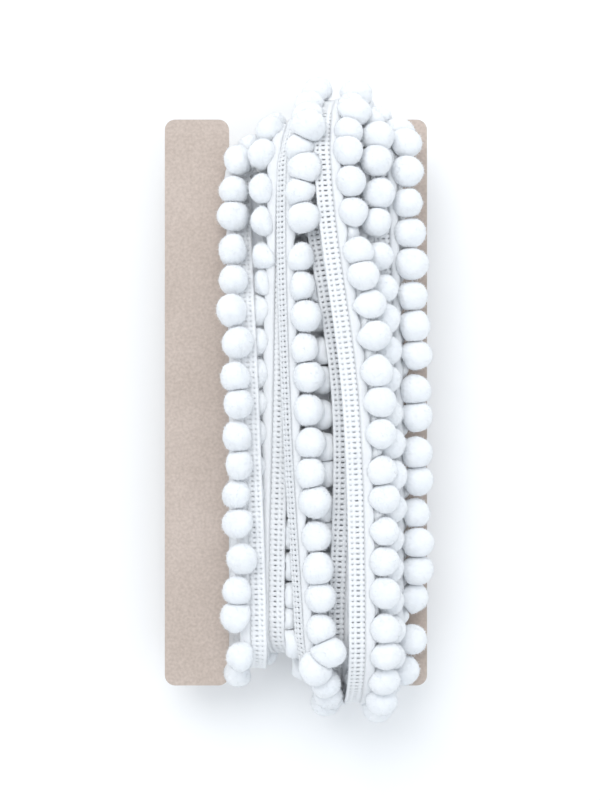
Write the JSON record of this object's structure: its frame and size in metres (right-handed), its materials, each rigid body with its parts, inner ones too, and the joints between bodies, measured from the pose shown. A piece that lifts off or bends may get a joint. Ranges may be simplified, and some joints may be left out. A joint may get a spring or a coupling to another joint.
{
  "type": "pompom fringe trim on card",
  "caption": "Length of soft pompom fringe wound lengthwise round a notched H-shaped card, thicker at one side, its last turn lying on top; a flat decorative edging for sewing.",
  "frame": {"origin": "centre of the bounding box's underside, on the surface the wound trim lies on", "axes": "+X across the card from its wide leg to its narrow leg, +Y along the card towards its upper end, +Z out of the card's face, up"},
  "size_m": [0.0842, 0.195, 0.0444],
  "materials": {
    "card_board": "matt uncoated grey-brown board",
    "white_trim": "soft napped white cotton"
  },
  "bodies": {
    "root": {"card": "card_board", "wound_trim": "white_trim", "last_turn_tape": "white_trim", "last_turn_pompoms": "white_trim"}
  },
  "joints": []
}
